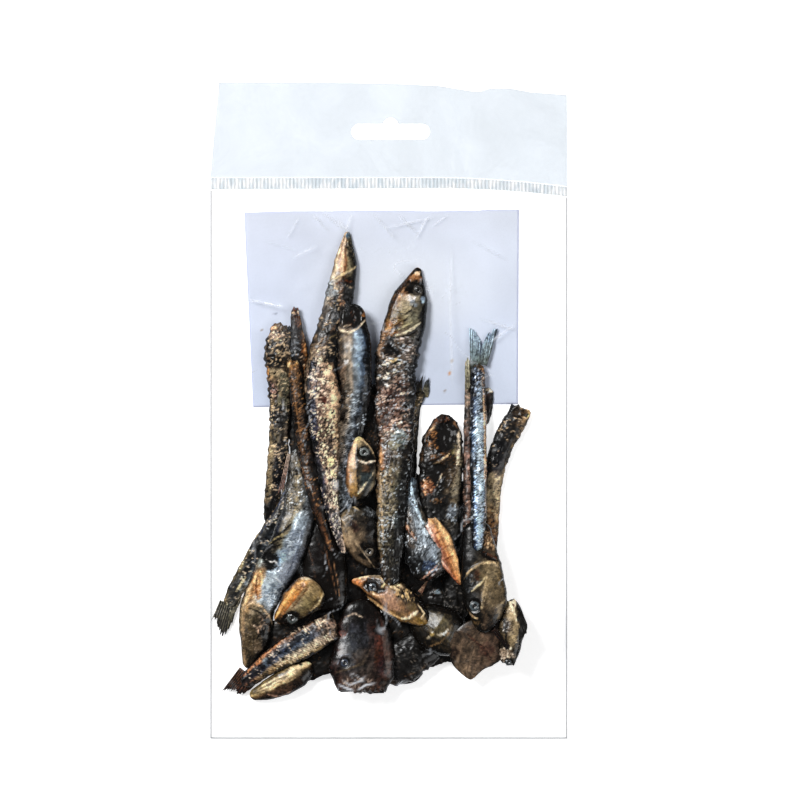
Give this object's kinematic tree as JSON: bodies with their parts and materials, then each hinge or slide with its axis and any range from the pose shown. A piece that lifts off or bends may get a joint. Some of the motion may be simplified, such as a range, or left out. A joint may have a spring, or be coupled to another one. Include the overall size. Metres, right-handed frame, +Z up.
{
  "type": "bag of dried anchovies",
  "caption": "Clear sealed pouch of whole and broken dried anchovies, with a crimped seal and a hanging header above it, lying on its back.",
  "frame": {"origin": "middle of the bag in plan, on the surface that its back rests on", "axes": "+X to the right of the shown face, +Y up the bag to its header, +Z up out of the shown face"},
  "size_m": [0.136, 0.25, 0.0172],
  "materials": {
    "dried_fish": "dried fish skin, dark brown with silver and cream flakes",
    "clear_film": "clear glossy film",
    "backing_card": "pale lavender paper behind the fish"
  },
  "bodies": {
    "root": {"pouch": "dried_fish", "seal_strip": "clear_film", "header": "clear_film"}
  },
  "joints": []
}
